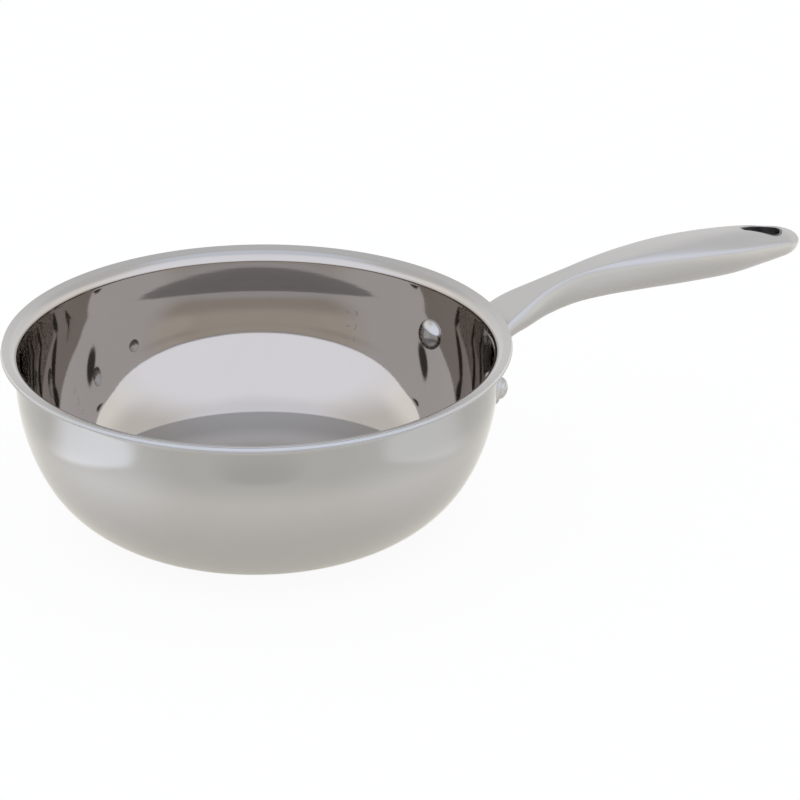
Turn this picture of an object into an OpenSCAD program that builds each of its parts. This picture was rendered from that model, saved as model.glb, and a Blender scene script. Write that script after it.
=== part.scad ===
// Rounded-side saucepan in three-layer clad sheet, with a hollow riveted handle.
// The base rests on z = 0 with the bowl's axis on Z, and the handle points along +X.

/* [Bowl] */
// Outer radius of the wall where the lip bends out of it
wall_r = 113.7; // [102:0.1:125]
// Radius of the flat base
base_r = 52.8; // [42:0.2:60]
// Height of the rim above the table
rim_h = 90; // [86:0.5:115]
// Height of the straight wall between the rounded side and the lip's bend
straight_h = 12; // [8:0.5:20]
// How far the straight wall leans outwards from upright
wall_lean = 1.7; // [1:0.1:8]
// Slope at which the tight lower curve meets the wide upper one
knee_angle = 62; // [56:0.2:68]
// How far the pouring lip stands out from the wall
lip_reach = 6.3; // [4:0.1:10]
// Bend radius under the lip
lip_bend_r = 3.4; // [2.5:0.1:4.5]
// Slope at which the lip rises to its edge
lip_slope = 18; // [6:1:24]

/* [Clad sheet] */
// Thickness of the inner steel layer
inner_t = 0.5; // [0.3:0.05:0.8]
// Thickness of the aluminium core
core_t = 1.6; // [1:0.1:2.4]
// Thickness of the outer steel layer
outer_t = 0.5; // [0.3:0.05:0.8]

/* [Rivets] */
// Distance between the two rivets
rivet_spacing = 70; // [56:1:80]
// Depth of the rivets below the rim
rivet_drop = 29.3; // [27:0.1:32]
// Shank radius
shank_r = 3.2; // [2.5:0.1:4]
// Clearance between a shank and its hole
shank_fit = 0.1; // [0.05:0.05:0.3]
// Radius of the head inside the bowl
inner_head_r = 7.6; // [5.5:0.1:8]
// Height of the head inside the bowl
inner_head_h = 3.9; // [2:0.1:4.5]
// Radius of the head outside
outer_head_r = 5.4; // [4.8:0.1:7.5]
// Height of the head outside
outer_head_h = 3.8; // [2:0.1:4.4]
// Height of a head's upright edge
head_edge_h = 0.8; // [0.4:0.1:1.2]

/* [Handle bracket] */
// Thickness of the flange plate
flange_t = 2.6; // [1.6:0.1:3]
// Radius of the flange round each rivet
lobe_r = 8; // [7:0.1:10]
// Radius of the flange behind the handle
pad_r = 13; // [11:0.1:14]
// Height of the middle of that part above the rivets
pad_rise = 4; // [0:0.5:5]
// Width of the handle's foot where it meets the flange
foot_w = 48; // [40:0.5:54]
// Depth of the foot there
foot_t = 13; // [11:0.5:15]
// How far the tongue reaches into the hollow handle
tongue_l = 16; // [8:0.5:24]
// Clearance between the tongue and the handle's walls
tongue_fit = 0.3; // [0.2:0.05:0.6]

/* [Handle] */
// Length from the wall to the tip
handle_l = 175.2; // [150:0.1:210]
// Height of the tip's top above the rim
tip_rise = 8.7; // [2:0.1:16]
// Depth of the neck's top below the rim where it clears the foot
root_drop = 11.9; // [10.5:0.1:14]
// Distance of that point from the wall
root_out = 5; // [3:0.1:7]
// Angle at which the neck rises there
root_angle = 38; // [32:1:44]
// Angle at which the tip falls
tip_angle = 12; // [0:1:18]
// Length over which the neck keeps its angle
root_pull = 51; // [40:1:60]
// Length over which the grip keeps its angle
tip_pull = 46; // [30:1:60]
// Width where the neck clears the foot
root_w = 31.4; // [26:0.2:36]
// Thickness there
root_t = 11; // [9:0.5:12]
// Width of the slim neck
neck_w = 12.6; // [9:0.2:16]
// Thickness of the slim neck
neck_t = 16.8; // [13:0.2:19]
// Width of the grip
grip_w = 30.8; // [27:0.2:36]
// Thickness of the grip
grip_t = 21.5; // [17:0.2:24]
// Height of the grip's crown over its two edges
grip_crown = 2.7; // [0:0.1:3]
// Thickness near the tip
tip_t = 9.2; // [7:0.1:11]
// Length of the rounded tip
tip_round = 10; // [8:0.5:16]
// Sheet thickness of the two handle shells
shell_t = 1.5; // [1:0.1:1.8]

/* [Hanging hole] */
// Radius of the wide end, inside the liner
hole_r = 6; // [4:0.1:7]
// Radius of the narrow end, inside the liner
hole_point_r = 1.6; // [1:0.1:3]
// Distance between the centres of the two ends
hole_run = 12.6; // [8:0.1:18]
// Metal between the hole and the tip
hole_to_tip = 11; // [8:0.1:14]
// Wall of the liner
liner_t = 1; // [0.6:0.1:1.6]

/* [Hidden] */

// Facets of a full turn, and the overrun of every cut
turn_fn = 120;
cut_over = 2;

// Lip: it leaves its bend at its own slope, and its edge is cut square to the sheet
sheet_t = inner_t + core_t + outer_t;
rim_r = wall_r + lip_reach;
bend_at_r = wall_r + lip_bend_r * cos(wall_lean);
lip_l = (rim_r - bend_at_r + lip_bend_r * sin(lip_slope)) / cos(lip_slope);
bend_at_h = rim_h - lip_l * sin(lip_slope) - (lip_bend_r + sheet_t) * cos(lip_slope);
flare_h = bend_at_h + lip_bend_r * sin(wall_lean);

// Bowl: the side's two arcs follow from the base, the straight wall's foot and the height between them
side_top_h = flare_h - straight_h;
side_top_r = wall_r - straight_h * tan(wall_lean);
side_run = side_top_r - base_r;
knee_sin = sin(knee_angle);
knee_cos = cos(knee_angle);
lean_sin = sin(wall_lean);
lean_cos = cos(wall_lean);
knee_det = knee_sin * (knee_cos - lean_sin) - (lean_cos - knee_sin) * (1 - knee_cos);
lower_arc_r = (side_run * (knee_cos - lean_sin) - side_top_h * (lean_cos - knee_sin)) / knee_det;
upper_arc_r = (side_top_h * knee_sin - side_run * (1 - knee_cos)) / knee_det;
upper_centre = [side_top_r - upper_arc_r * lean_cos, side_top_h + upper_arc_r * lean_sin];
lower_steps = 12;
upper_steps = 6;
lip_steps = 8;

// Steps round an end of the flange or of the hanging hole, and round the flange's pad
outline_steps = 14;
tangent_steps = 4;

// Rivets: each stands square to the wall at its own height
rivet_h = rim_h - rivet_drop;
rivet_on_arc = rivet_h < side_top_h;
rivet_tilt = rivet_on_arc ? asin((upper_centre[1] - rivet_h) / upper_arc_r) : wall_lean;
rivet_wall_r = rivet_on_arc
    ? upper_centre[0] + upper_arc_r * cos(rivet_tilt)
    : side_top_r + (rivet_h - side_top_h) * tan(wall_lean);
rivet_turn = asin(rivet_spacing / 2 / rivet_wall_r);

// Handle: a crown line in the XZ plane, given by two ends and their directions
root_at = [wall_r + root_out, rim_h - root_drop];
tip_at = [wall_r + handle_l, rim_h + tip_rise];
root_pull_at = root_at + root_pull * [cos(root_angle), sin(root_angle)];
tip_pull_at = tip_at - tip_pull * [cos(tip_angle), -sin(tip_angle)];
reach = tip_at[0] - root_at[0];

// Rows of [share of the reach, shares of the foot, root, neck and grip widths]
width_shares = [
    [-0.08, [1, 0, 0, 0]],
    [0, [0, 1, 0, 0]],
    [0.08, [0, 0.66, 0.34, 0]],
    [0.16, [0, 0.2, 0.8, 0]],
    [0.255, [0, 0, 1, 0]],
    [0.36, [0, 0, 0.8, 0.2]],
    [0.484, [0, 0, 0.43, 0.57]],
    [0.625, [0, 0, 0.09, 0.91]],
    [0.772, [0, 0, 0, 1]],
    [0.89, [0, 0, 0, 0.84]],
    [1, [0, 0, 0, 0.64]]
];
// Rows of [share of the reach, shares of the foot, root, neck, grip and tip thicknesses]
depth_shares = [
    [-0.08, [1, 0, 0, 0, 0]],
    [0, [0, 1, 0, 0, 0]],
    [0.08, [0, 0.48, 0.52, 0, 0]],
    [0.16, [0, 0.23, 0.77, 0, 0]],
    [0.255, [0, 0, 1, 0, 0]],
    [0.36, [0, 0, 0.57, 0.43, 0]],
    [0.484, [0, 0, 0.15, 0.85, 0]],
    [0.625, [0, 0, 0, 1, 0]],
    [0.772, [0, 0, 0, 0.87, 0.13]],
    [0.89, [0, 0, 0, 0.49, 0.51]],
    [1, [0, 0, 0, 0, 1]]
];
// Rows of [share of the reach, flat top's share of the width]
flat_shares = [[-0.08, 0.94], [0, 0.92], [0.16, 0.9], [0.3, 0.88], [0.48, 0.79], [1, 0.7]];
// Rows of [share of the reach, share of the grip's crown]
crown_shares = [
    [-0.08, 0], [0.4, 0], [0.56, 0.17], [0.7, 0.56], [0.83, 0.92], [0.92, 0.72], [1, 0.35]
];
widths = [for (row = width_shares) [row[0], row[1] * [foot_w, root_w, neck_w, grip_w]]];
depths = [for (row = depth_shares) [row[0], row[1] * [foot_t, root_t, neck_t, grip_t, tip_t]]];
// Where the section is widest, as a share of its thickness, and the tip's blunt share
widest_share = 0.24;
blunt_share = 0.72;

// Stations along the handle, as shares of the reach
foot_share = -0.08;
joint_share = 0.06;
round_share = 1 - tip_round / reach;
tongue_share = joint_share + tongue_l / reach;
body_steps = 30;
tip_steps = 7;
tip_end_share = 0.985;
foot_steps = 8;
tongue_steps = 5;
crown_steps = 3;
top_steps = 5;
belly_steps = 8;
grip_stations = concat(
    [for (i = [0:body_steps]) joint_share + (round_share - joint_share) * i / body_steps],
    [for (i = [1:tip_steps]) round_share + (1 - round_share) * tip_end_share * sin(90 * i / tip_steps)]
);
// The cavity stops one sheet thickness short of the tip
cavity_scale = (reach - tip_round * (1 - tip_end_share) - shell_t - joint_share * reach)
    / (reach * (1 - joint_share) - tip_round * (1 - tip_end_share));
cavity_stations = [for (s = grip_stations) joint_share + (s - joint_share) * cavity_scale];

// Hanging hole: it is cut straight down through the grip
hole_x = tip_at[0] - hole_to_tip - hole_r;
hole_depth = grip_t + tip_rise;

// The bowl's section
// An arc's points about centre c, from angle a to angle b, measured from straight down
function arc(c, r, a, b, steps) =
    [for (i = [0:steps]) let (t = a + (b - a) * i / steps) c + r * [sin(t), -cos(t)]];

// The wall from the axis to the foot of the lip, d inside the outer surface
function side_line(d) = concat(
    [[0, d]],
    arc([base_r, lower_arc_r], lower_arc_r - d, 0, knee_angle, lower_steps),
    arc(upper_centre, upper_arc_r - d, knee_angle + (90 - wall_lean - knee_angle) / upper_steps,
        90 - wall_lean, upper_steps - 1),
    [[wall_r - d * lean_cos, flare_h + d * lean_sin]]
);

// The whole sheet's line, with the lip, d inside the outer surface
function sheet_line(d) = concat(
    side_line(d),
    [for (i = [1:lip_steps]) let (t = wall_lean + (90 - lip_slope - wall_lean) * i / lip_steps)
        [bend_at_r - (lip_bend_r + d) * cos(t), bend_at_h + (lip_bend_r + d) * sin(t)]],
    [[bend_at_r - (lip_bend_r + d) * sin(lip_slope) + lip_l * cos(lip_slope),
        bend_at_h + (lip_bend_r + d) * cos(lip_slope) + lip_l * sin(lip_slope)]]
);

function reversed(list) = [for (i = [len(list) - 1:-1:0]) list[i]];

// One layer of the sheet, between two depths inside the outer surface
module layer(d_outer, d_inner) {
    difference() {
        rotate_extrude($fn = turn_fn)
            polygon(concat(sheet_line(d_outer), reversed(sheet_line(d_inner))));
        rivet_holes();
    }
}

// Everything inside the line d inside the outer surface
module inside(d) {
    rotate_extrude($fn = turn_fn) polygon(concat(side_line(d), [[0, flare_h + d * lean_sin]]));
}

// Rivets
// Moves its children to a rivet, with Z along the shank and z = 0 on the wall's outer surface
module at_rivet(side) {
    rotate([0, 0, side * rivet_turn])
        translate([rivet_wall_r, 0, rivet_h])
            rotate([0, 90 + rivet_tilt, 0]) children();
}

module rivet_holes() {
    for (side = [-1, 1])
        at_rivet(side)
            translate([0, 0, -sheet_t - cut_over])
                cylinder(r = shank_r + shank_fit, h = sheet_t + flange_t + 2 * cut_over, $fn = turn_fn);
}

// A domed head on its upright edge, which starts one overrun below z = 0
module rivet_head(r, h) {
    dome_h = h - head_edge_h;
    dome_r = (r ^ 2 + dome_h ^ 2) / (2 * dome_h);
    intersection() {
        translate([0, 0, h - dome_r]) sphere(r = dome_r, $fn = turn_fn);
        translate([0, 0, -cut_over]) cylinder(r = r, h = h + 2 * cut_over, $fn = turn_fn);
    }
}

module rivet(side) {
    at_rivet(side)
        translate([0, 0, -sheet_t - head_edge_h])
            cylinder(r = shank_r, h = sheet_t + flange_t + 2 * head_edge_h, $fn = turn_fn);
    intersection() {
        at_rivet(side) translate([0, 0, -sheet_t]) mirror([0, 0, 1]) rivet_head(inner_head_r, inner_head_h);
        inside(sheet_t);
    }
    difference() {
        at_rivet(side) translate([0, 0, flange_t]) rivet_head(outer_head_r, outer_head_h);
        inside(-flange_t);
    }
}

// The handle's section and path
function row_at(table, s, i = 0) = i >= len(table) - 2 || s <= table[i + 1][0] ? i : row_at(table, s, i + 1);

function slope_at(table, i) = let (a = table[max(i - 1, 0)], b = table[min(i + 1, len(table) - 1)])
    (b[1] - a[1]) / (b[0] - a[0]);

// A smooth curve through the rows [place, value] of a table
function smooth(table, s) = let (
    i = row_at(table, s),
    h = table[i + 1][0] - table[i][0],
    f = (s - table[i][0]) / h
) table[i][1] * (1 + 2 * f) * (1 - f) ^ 2 + table[i + 1][1] * f ^ 2 * (3 - 2 * f)
    + h * (slope_at(table, i) * f * (1 - f) ^ 2 - slope_at(table, i + 1) * f ^ 2 * (1 - f));

function crown(u) = (1 - u) ^ 3 * root_at + 3 * u * (1 - u) ^ 2 * root_pull_at
    + 3 * u ^ 2 * (1 - u) * tip_pull_at + u ^ 3 * tip_at;

function crown_way(u) = (1 - u) ^ 2 * (root_pull_at - root_at)
    + 2 * u * (1 - u) * (tip_pull_at - root_pull_at) + u ^ 2 * (tip_at - tip_pull_at);

// The curve's own parameter at a share of the reach, by halving
function crown_u(s, lo = 0, hi = 1, turns = 24) = let (mid = (lo + hi) / 2)
    turns == 0 ? mid
    : crown(mid)[0] < root_at[0] + s * reach ? crown_u(s, mid, hi, turns - 1)
    : crown_u(s, lo, mid, turns - 1);

// The crown line and its slope; the foot runs straight on below the root
function path_at(s) = s < 0 ? root_at + s * reach * [1, tan(root_angle)] : crown(crown_u(s));
function path_angle(s) = s < 0 ? root_angle : let (way = crown_way(crown_u(s))) atan2(way[1], way[0]);

// How far the rounded tip has drawn in at a share of the reach, from 1 down to 0
function tip_draw(s) = s <= round_share ? 1 : sqrt(max(1 - ((s - round_share) / (1 - round_share)) ^ 2, 0));

// Half of a section as [y, depth below the crown line]; the upper half holds the flat or crowned top
function half_section(s, inset, upper) = let (
    draw = tip_draw(s),
    full_t = smooth(depths, s),
    drawn_t = full_t * (1 - (1 - blunt_share) * (1 - draw)),
    a = smooth(widths, s) / 2 * draw - inset * draw,
    t = drawn_t - 2 * inset,
    sink = (full_t - drawn_t) / 2 + inset,
    c = widest_share * t,
    crease = asin(smooth(flat_shares, s)),
    b = c / cos(crease),
    rise = grip_crown * smooth(crown_shares, s) * draw,
    right = upper
        ? concat(
            [for (i = [0:crown_steps - 1]) let (f = i / crown_steps)
                [a * sin(crease) * f, sink - rise * (1 - f ^ 2)]],
            [for (i = [0:top_steps]) let (p = crease + (90 - crease) * i / top_steps)
                [a * sin(p), sink + c - b * cos(p)]])
        : [for (i = [0:belly_steps]) let (p = 180 - 90 * i / belly_steps)
            [a * sin(p), sink + c - (t - c) * cos(p)]],
    left = [for (i = [len(right) - 1:-1:1]) [-right[i][0], right[i][1]]]
) concat(left, right);

// Places a section's points in the model at a share of the reach
function placed(s, points) = let (at = path_at(s), turn = path_angle(s))
    [for (p = points) [at[0] + p[1] * sin(turn), p[0], at[1] - p[1] * cos(turn)]];

// A whole ring, with the belly's inner points after the top
function ring(s, inset) = let (under = half_section(s, inset, false))
    placed(s, concat(half_section(s, inset, true), [for (i = [len(under) - 2:-1:1]) under[i]]));

// A solid handle length through stations, inset from the surface
module handle_solid(stations, inset) {
    rings = [for (s = stations) ring(s, inset)];
    n = len(rings[0]);
    last = len(stations) - 1;
    polyhedron(
        points = [for (r = rings) each r],
        faces = concat(
            [[for (j = [n - 1:-1:0]) j]],
            [for (i = [0:last - 1]) for (j = [0:n - 1]) let (a = i * n, b = a + n, k = (j + 1) % n)
                each [[a + j, a + k, b + k], [a + j, b + k, b + j]]],
            [[for (j = [0:n - 1]) last * n + j]]
        )
    );
}

// One half of the hollow handle: an outer and an inner skin joined along the parting line
module handle_shell(upper) {
    outside = [for (s = grip_stations) placed(s, half_section(s, 0, upper))];
    cavity = [for (s = cavity_stations) placed(s, half_section(s, shell_t, upper))];
    n = len(outside[0]);
    count = len(outside);
    last = count - 1;
    shift = count * n;
    quads = concat(
        [for (i = [0:last - 1]) for (j = [0:n - 2]) let (a = i * n + j, b = a + n)
            [a, a + 1, b + 1, b]],
        [for (i = [0:last - 1]) for (j = [0:n - 2]) let (a = shift + i * n + j, b = a + n)
            [a, b, b + 1, a + 1]],
        [for (j = [0:n - 2]) [j, shift + j, shift + j + 1, j + 1]],
        [for (i = [0:last - 1]) [i * n, (i + 1) * n, shift + (i + 1) * n, shift + i * n]],
        [for (i = [0:last - 1]) [i * n + n - 1, shift + i * n + n - 1,
            shift + (i + 1) * n + n - 1, (i + 1) * n + n - 1]],
        [[last * n, last * n + n - 1, shift + last * n + n - 1, shift + last * n]]
    );
    caps = [
        [for (j = [0:n - 1]) last * n + j],
        [for (j = [n - 1:-1:0]) shift + last * n + j]
    ];
    triangles = [for (q = quads) each [[q[0], q[1], q[2]], [q[0], q[2], q[3]]]];
    faces = concat(caps, triangles);
    polyhedron(
        points = concat([for (r = outside) each r], [for (r = cavity) each r]),
        faces = upper ? faces : [for (f = faces) reversed(f)]
    );
}

// The outline of a wide end at the origin and a narrow end along -X, with their common tangents
function teardrop(r1, r2, run) = let (lean = acos((r1 - r2) / run)) concat(
    arc([0, 0], r1, lean - 90, 270 - lean, 2 * outline_steps),
    arc([-run, 0], r2, 270 - lean, 270 + lean, outline_steps)
);

// The hanging hole's column, grown outwards by a wall
module hole_column(grow, over) {
    translate([hole_x, 0, tip_at[1] - hole_depth - over])
        linear_extrude(2 * hole_depth + 2 * over)
            polygon(teardrop(hole_r + grow, hole_point_r + grow, hole_run));
}

// Pieces
module inner_layer() {
    color([0.80, 0.79, 0.77]) layer(outer_t + core_t, sheet_t);
}

module aluminium_core() {
    color([0.86, 0.87, 0.88]) layer(outer_t, outer_t + core_t);
}

module outer_layer() {
    color([0.74, 0.74, 0.74]) layer(0, outer_t);
}

// The flange's outline: a lobe round each rivet and a raised pad between them, with common tangents.
// A pad that is too high to reach below the lobes leaves a straight edge between them.
function flange_outline() = let (
    half = rivet_spacing / 2,
    dip = atan2(pad_rise, half),
    lean = acos((pad_r - lobe_r) / norm([half, pad_rise])),
    low = max(90 - lean - dip, 0)
) concat(
    arc([half, 0], lobe_r, low, 90 + lean - dip, outline_steps),
    arc([0, pad_rise], pad_r, 90 + lean - dip, 270 - lean + dip, tangent_steps),
    arc([-half, 0], lobe_r, 270 - lean + dip, 360 - low, outline_steps),
    low > 0 ? arc([0, pad_rise], pad_r, 360 - low, 360 + low, tangent_steps) : []
);

// The flange plate: a slice of the wall's own curve, from inside the wall to its outer face
module flange() {
    intersection() {
        rotate_extrude($fn = turn_fn)
            polygon(concat(side_line(-flange_t), reversed(side_line(sheet_t))));
        translate([0, 0, rivet_h])
            rotate([90, 0, 90]) linear_extrude(rim_r) polygon(flange_outline());
    }
}

module handle_bracket() {
    foot = [for (i = [0:foot_steps]) foot_share + (joint_share - foot_share) * i / foot_steps];
    tongue_from = foot[foot_steps - 1];
    tongue = [for (i = [0:tongue_steps]) tongue_from + (tongue_share - tongue_from) * i / tongue_steps];
    color([0.76, 0.76, 0.78])
        difference() {
            union() {
                flange();
                handle_solid(foot, 0);
                handle_solid(tongue, shell_t + tongue_fit);
            }
            inside(0);
            rivet_holes();
        }
}

module handle_upper_shell() {
    color([0.78, 0.78, 0.80])
        difference() {
            handle_shell(true);
            hole_column(liner_t, cut_over);
        }
}

module handle_lower_shell() {
    color([0.78, 0.78, 0.80])
        difference() {
            handle_shell(false);
            hole_column(liner_t, cut_over);
        }
}

module hanging_hole_liner() {
    color([0.22, 0.22, 0.23])
        intersection() {
            difference() {
                hole_column(liner_t, 0);
                hole_column(0, cut_over);
            }
            handle_solid(grip_stations, 0);
        }
}

module rivet_left() {
    color([0.82, 0.82, 0.83]) rivet(1);
}

module rivet_right() {
    color([0.82, 0.82, 0.83]) rivet(-1);
}

inner_layer();
aluminium_core();
outer_layer();
handle_bracket();
handle_upper_shell();
handle_lower_shell();
hanging_hole_liner();
rivet_left();
rivet_right();
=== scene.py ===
"""A rounded-side saucepan in clad steel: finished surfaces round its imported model, and a plain studio.

Lengths are in metres. The base rests on z = 0, the bowl's axis is Z, and the handle points along +X.
"""

import math

import bpy
import numpy as np
from mathutils import Matrix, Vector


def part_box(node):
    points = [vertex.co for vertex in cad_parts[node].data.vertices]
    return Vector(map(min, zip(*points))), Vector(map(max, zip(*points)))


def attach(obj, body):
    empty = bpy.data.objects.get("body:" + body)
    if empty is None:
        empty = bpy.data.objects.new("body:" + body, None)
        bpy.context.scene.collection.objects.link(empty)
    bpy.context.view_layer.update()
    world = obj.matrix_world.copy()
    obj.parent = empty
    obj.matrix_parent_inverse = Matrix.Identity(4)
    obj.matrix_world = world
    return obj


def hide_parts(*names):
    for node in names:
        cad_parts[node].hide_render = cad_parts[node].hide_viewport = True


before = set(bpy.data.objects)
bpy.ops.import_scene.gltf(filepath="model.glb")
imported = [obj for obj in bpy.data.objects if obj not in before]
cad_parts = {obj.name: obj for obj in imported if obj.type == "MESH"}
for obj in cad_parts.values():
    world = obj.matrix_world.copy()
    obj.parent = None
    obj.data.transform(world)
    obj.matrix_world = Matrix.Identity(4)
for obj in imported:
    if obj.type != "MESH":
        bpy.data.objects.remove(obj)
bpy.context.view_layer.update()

bl_info = {
    "name": "Rounded-side saucepan",
    "version": (1, 0, 0),
    "blender": (4, 5, 0),
    "location": "View3D > Sidebar > Saucepan",
    "description": "Builds a clad steel saucepan with a riveted handle, its finishes and a plain studio",
    "category": "Add Mesh",
}

MM = 0.001
WELD = 1e-6
SHEET_LOW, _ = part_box("outer_layer")
CORE_LOW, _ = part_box("aluminium_core")
INNER_LOW, INNER_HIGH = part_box("inner_layer")
FRAME_MM, FRAME_PX = 36, 800


# Sizes and colours

def length(name, text, value):
    """A length that a user would change."""
    return bpy.props.FloatProperty(
        name=name, description=text, default=value, min=0, unit="LENGTH", precision=5)


def angle(name, text, degrees):
    """An angle that a user would change."""
    return bpy.props.FloatProperty(
        name=name, description=text, default=math.radians(degrees), unit="ROTATION")


def share(name, text, value):
    """A plain number that a user would change."""
    return bpy.props.FloatProperty(name=name, description=text, default=value, precision=4)


def colour(name, text, value):
    """A colour that a user would change."""
    return bpy.props.FloatVectorProperty(name=name, description=text, default=value, size=3, subtype="COLOR")


class BowlSettings(bpy.types.PropertyGroup):
    """Sizes of the bowl's section and of its clad sheet."""
    rim_r: length("Rim radius", "Radius of the lip's edge", -SHEET_LOW.x)
    rim_h: length("Rim height", "Height of the lip's top above the table", INNER_HIGH.z)
    wall_r: length("Wall radius", "Outer radius of the wall where the lip bends out of it", 113.7 * MM)
    base_r: length("Base radius", "Radius of the flat base", 52.8 * MM)
    straight_h: length("Straight height", "Height of the straight wall under the lip's bend", 12 * MM)
    wall_lean: angle("Wall lean", "How far the straight wall leans outwards", 1.7)
    lip_bend_r: length("Lip bend", "Bend radius under the lip", 3.4 * MM)
    lip_slope: angle("Lip slope", "Slope at which the lip rises to its edge", 18)
    knee: angle("Knee", "Slope at which the tight lower curve meets the wide upper one", 62)
    outer_t: length("Outer steel", "Thickness of the outer steel layer", CORE_LOW.z)
    core_t: length("Aluminium", "Thickness of the aluminium core", INNER_LOW.z - CORE_LOW.z)
    inner_t: length("Inner steel", "Thickness of the inner steel layer", 0.5 * MM)
    edge_r: length("Edge round", "Rounding of each layer's corners at the lip's edge", 0.18 * MM)


class RivetSettings(bpy.types.PropertyGroup):
    """Sizes and places of the two rivets."""
    spacing: length("Spacing", "Distance between the two rivets", 70 * MM)
    drop: length("Drop", "Depth of the rivets below the rim", 29.3 * MM)
    shank_r: length("Shank radius", "Radius of a rivet's shank", 3.2 * MM)
    inner_head_r: length("Inner head radius", "Radius of the head inside the bowl", 7.6 * MM)
    inner_head_h: length("Inner head height", "Height of the head inside the bowl", 3.9 * MM)
    outer_head_r: length("Outer head radius", "Radius of the head outside", 5.4 * MM)
    outer_head_h: length("Outer head height", "Height of the head outside", 3.8 * MM)
    seat: length("Seat", "How far a head's skirt reaches below its flat seat on the curved wall", 0.5 * MM)


class BracketSettings(bpy.types.PropertyGroup):
    """Sizes of the plate that the rivets hold, and of its foot."""
    flange_t: length("Plate thickness", "Thickness of the flange plate", 2.6 * MM)
    lobe_r: length("Lobe radius", "Radius of the plate round each rivet", 8 * MM)
    pad_r: length("Pad radius", "Radius of the plate behind the handle", 13 * MM)
    pad_rise: length("Pad rise", "Height of the pad's centre above the rivets", 4 * MM)
    edge_r: length("Edge round", "Rounding of the plate's edge", 0.9 * MM)
    fillet_r: length("Fillet", "Fillet between the plate and the foot", 3 * MM)
    tongue_l: length("Tongue", "How far the tongue reaches into the hollow handle", 16 * MM)
    tongue_fit: length("Tongue clearance", "Clearance between the tongue and the handle's walls", 0.3 * MM)


class HandleSettings(bpy.types.PropertyGroup):
    """Sizes of the hollow handle and of its hanging hole."""
    length: length("Length", "Length from the wall to the tip", 175.2 * MM)
    tip_rise: length("Tip rise", "Height of the tip's top above the rim", 8.7 * MM)
    root_drop: length("Root drop", "Depth of the neck's top below the rim", 11.9 * MM)
    root_out: length("Root place", "Distance of that point from the wall", 5 * MM)
    root_angle: angle("Root angle", "Angle at which the neck rises", 38)
    tip_angle: angle("Tip angle", "Angle at which the tip falls", 12)
    root_pull: length("Root pull", "Length over which the neck keeps its angle", 51 * MM)
    tip_pull: length("Tip pull", "Length over which the grip keeps its angle", 46 * MM)
    foot_w: length("Foot width", "Width of the foot at the plate", 48 * MM)
    foot_t: length("Foot thickness", "Depth of the foot at the plate", 13 * MM)
    root_w: length("Root width", "Width where the neck clears the foot", 31.4 * MM)
    root_t: length("Root thickness", "Thickness there", 11 * MM)
    neck_w: length("Neck width", "Width of the slim neck", 12.6 * MM)
    neck_t: length("Neck thickness", "Thickness of the slim neck", 16.8 * MM)
    grip_w: length("Grip width", "Width of the grip", 30.8 * MM)
    grip_t: length("Grip thickness", "Thickness of the grip", 21.5 * MM)
    grip_crown: length("Grip crown", "Height of the grip's crown over its two edges", 2.7 * MM)
    tip_t: length("Tip thickness", "Thickness near the tip", 9.2 * MM)
    tip_round: length("Tip round", "Length of the rounded tip", 10 * MM)
    shell_t: length("Shell thickness", "Sheet thickness of the two shells", 1.5 * MM)
    hole_r: length("Hole radius", "Radius of the hanging hole's wide end", 6 * MM)
    hole_point_r: length("Hole point", "Radius of its narrow end", 1.6 * MM)
    hole_run: length("Hole run", "Distance between the centres of its two ends", 12.6 * MM)
    hole_to_tip: length("Hole to tip", "Metal between the hole and the tip", 11 * MM)
    liner_t: length("Liner wall", "Wall of the hole's liner", 1 * MM)
    hole_edge_r: length("Hole edge", "Rounding of the shells' edge round the hole", 0.7 * MM)


class MarkSettings(bpy.types.PropertyGroup):
    """Sizes and places of the capacity marks inside the bowl."""
    turn: angle("Turn", "Angle of the marks from the handle, seen from above", 45)
    tick_l: length("Tick length", "Length of a tick", 2.8 * MM)
    digit_h: length("Numeral height", "Height of a numeral", 2.2 * MM)
    gap: length("Gap", "Gap between a tick and its numeral", 2.2 * MM)
    stroke: length("Stroke", "Width of an etched stroke", 0.42 * MM)
    lift: length("Lift", "Height of the etched surface above the polish", 0.012 * MM)


class FinishSettings(bpy.types.PropertyGroup):
    """Colours and gloss of the finishes."""
    inner_steel: colour("Inner steel", "Colour of the polished inside", (0.462, 0.430, 0.400))
    disc_steel: colour("Disc steel", "Colour of the brushed disc inside", (0.405, 0.382, 0.358))
    lip_steel: colour("Lip steel", "Colour of the brushed lip", (0.402, 0.395, 0.386))
    outer_steel: colour("Outer steel", "Colour of the polished outside", (0.435, 0.424, 0.416))
    satin_steel: colour("Satin steel", "Colour of the satin handle", (0.447, 0.438, 0.430))
    rivet_steel: colour("Rivet steel", "Colour of the rivets", (0.440, 0.432, 0.424))
    aluminium: colour("Aluminium", "Colour of the core's edge", (0.470, 0.475, 0.485))
    # The liner's near-black colour is painted shade, standing in for the shade deep inside the hanging hole
    liner: colour("Liner", "Colour of the hanging hole's wall", (0.150, 0.148, 0.150))
    etched: colour("Etched mark", "Colour of the capacity marks", (0.270, 0.262, 0.255))
    inner_rough: share("Inner roughness", "Roughness of the polished inside", 0.04)
    disc_r: length("Disc radius", "Radius of the brushed disc in the bottom of the bowl", 85.3 * MM)
    disc_rough: share("Disc roughness", "Roughness of the brushed disc", 0.4)
    lip_rough: share("Lip roughness", "Roughness of the lip, which is only brushed", 0.3)
    outer_rough: share("Outer roughness", "Roughness of the polished outside", 0.10)
    satin_rough: share("Satin roughness", "Roughness of the satin handle", 0.36)


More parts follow.
